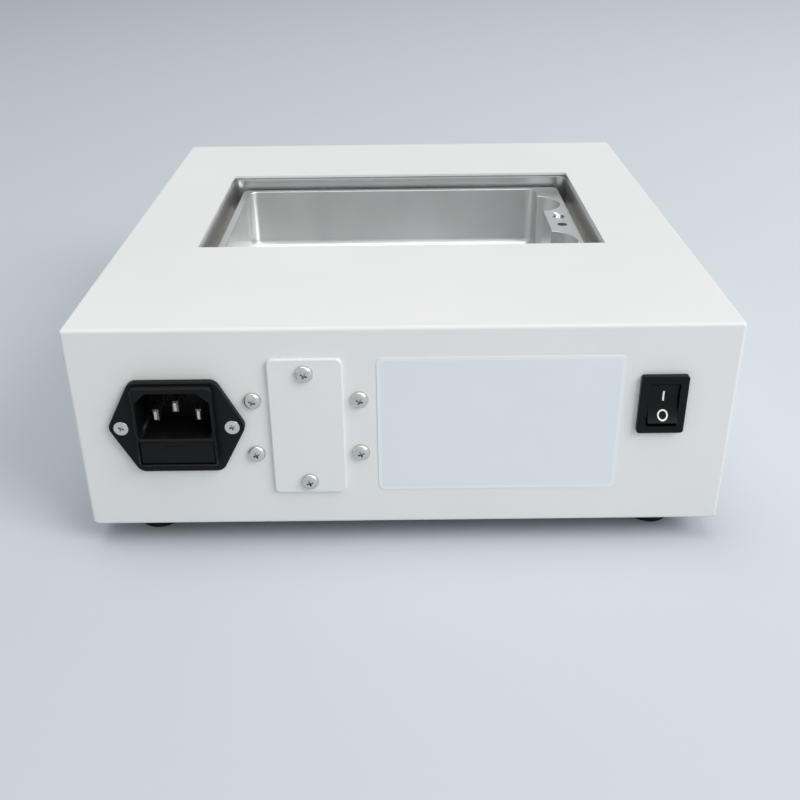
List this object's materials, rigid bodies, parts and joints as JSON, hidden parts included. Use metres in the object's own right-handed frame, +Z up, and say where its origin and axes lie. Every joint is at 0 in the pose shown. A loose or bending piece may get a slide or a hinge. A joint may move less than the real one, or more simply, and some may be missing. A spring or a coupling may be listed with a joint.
{
  "type": "heat block",
  "caption": "Bench dry bath with a heated metal well under a top window, a sloping control panel, and a rear panel with fused mains inlet, cover plate and rocker switch.",
  "frame": {"origin": "middle of the footprint, on the surface that the feet stand on", "axes": "+Z up, +Y towards the rear panel with the mains inlet, -Y towards the control panel"},
  "size_m": [0.214, 0.2848, 0.0818],
  "materials": {
    "case_coat": "satin fine-grained powder coat",
    "base_steel": "zinc plated sheet",
    "liner_steel": "brushed stainless sheet",
    "well_metal": "satin machined and blasted",
    "fastener_steel": "bright nickel plated",
    "foot_rubber": "matte moulded",
    "black_plastic": "fine moulded grain",
    "rocker_plastic": "semi-gloss moulded",
    "pin_metal": "nickel plated brass",
    "label_film": "satin silver-blue film, bare",
    "overlay_film": "fine textured film",
    "lens_plastic": "tinted clear, polished",
    "key_plastic": "satin moulded",
    "display_epoxy": "matte with unlit segments",
    "board_laminate": "glass-epoxy with solder mask",
    "component_plastic": "moulded housings",
    "insulation_fibre": "white ceramic fibre felt",
    "heater_mica": "mica laminate",
    "core_steel": "stacked laminations, varnished",
    "coil_tape": "yellow polyester tape over copper",
    "fuse_glass": "clear tube with metal caps"
  },
  "bodies": {
    "case": {"base_plate": "base_steel", "board_screws": "fastener_steel", "board_spacers": "fastener_steel", "case_screws": "fastener_steel", "case_shell": "case_coat", "control_board": "board_laminate", "control_chip": "component_plastic", "control_overlay": "overlay_film", "control_posts": "fastener_steel", "cover_plate": "case_coat", "cover_screws": "fastener_steel", "display_lens": "lens_plastic", "display_module": "display_epoxy", "earth_stud": "fastener_steel", "flat_heater": "heater_mica", "floor_insulation": "insulation_fibre", "foot_screws": "fastener_steel", "heater_clamp": "base_steel", "heater_screws": "fastener_steel", "heating_well": "well_metal", "inlet_body": "black_plastic", "inlet_pins": "pin_metal", "inlet_screws": "fastener_steel", "key_switches": "component_plastic", "liner_screws": "fastener_steel", "m3_nuts": "fastener_steel", "m4_nuts": "fastener_steel", "panel_screws": "fastener_steel", "post_screws": "fastener_steel", "power_board": "board_laminate", "power_relay": "component_plastic", "rating_label": "label_film", "rubber_feet": "foot_rubber", "switch_housing": "black_plastic", "switch_terminals": "pin_metal", "terminal_block": "component_plastic", "thermal_cutout": "component_plastic", "transformer_coil": "coil_tape", "transformer_core": "core_steel", "transformer_screws": "fastener_steel", "transformer_strap": "base_steel", "triac_heat_sink": "well_metal", "trimmers": "component_plastic", "wall_insulation": "insulation_fibre", "well_liner": "liner_steel", "well_posts": "base_steel", "well_probe": "liner_steel"},
    "rocker": {"switch_rocker": "rocker_plastic"},
    "drawer": {"fuse_drawer": "black_plastic", "fuses": "fuse_glass"},
    "key_set": {"key_set": "key_plastic"},
    "key_up": {"key_up": "key_plastic"},
    "key_down": {"key_down": "key_plastic"},
    "key_start": {"key_start": "key_plastic"}
  },
  "joints": [
    {"name": "rocker_tilt", "type": "hinge", "parent": "case", "child": "rocker", "pos_m": [-0.0833, 0.1363, 0.0541], "axis": [-1, 0, 0], "range_deg": [0, 24]},
    {"name": "drawer_slide", "type": "slide", "parent": "case", "child": "drawer", "axis": [0, 1, 0], "range_m": [0, 0.02]},
    {"name": "key_set_press", "type": "slide", "parent": "case", "child": "key_set", "axis": [0, 0.7255, -0.6882], "range_m": [0, 0.0006], "stiffness_N_per_m": 400, "springref_m": -0.0008},
    {"name": "key_up_press", "type": "slide", "parent": "case", "child": "key_up", "axis": [0, 0.7255, -0.6882], "range_m": [0, 0.0006], "stiffness_N_per_m": 400, "springref_m": -0.0008},
    {"name": "key_down_press", "type": "slide", "parent": "case", "child": "key_down", "axis": [0, 0.7255, -0.6882], "range_m": [0, 0.0006], "stiffness_N_per_m": 400, "springref_m": -0.0008},
    {"name": "key_start_press", "type": "slide", "parent": "case", "child": "key_start", "axis": [0, 0.7255, -0.6882], "range_m": [0, 0.0006], "stiffness_N_per_m": 400, "springref_m": -0.0008}
  ]
}
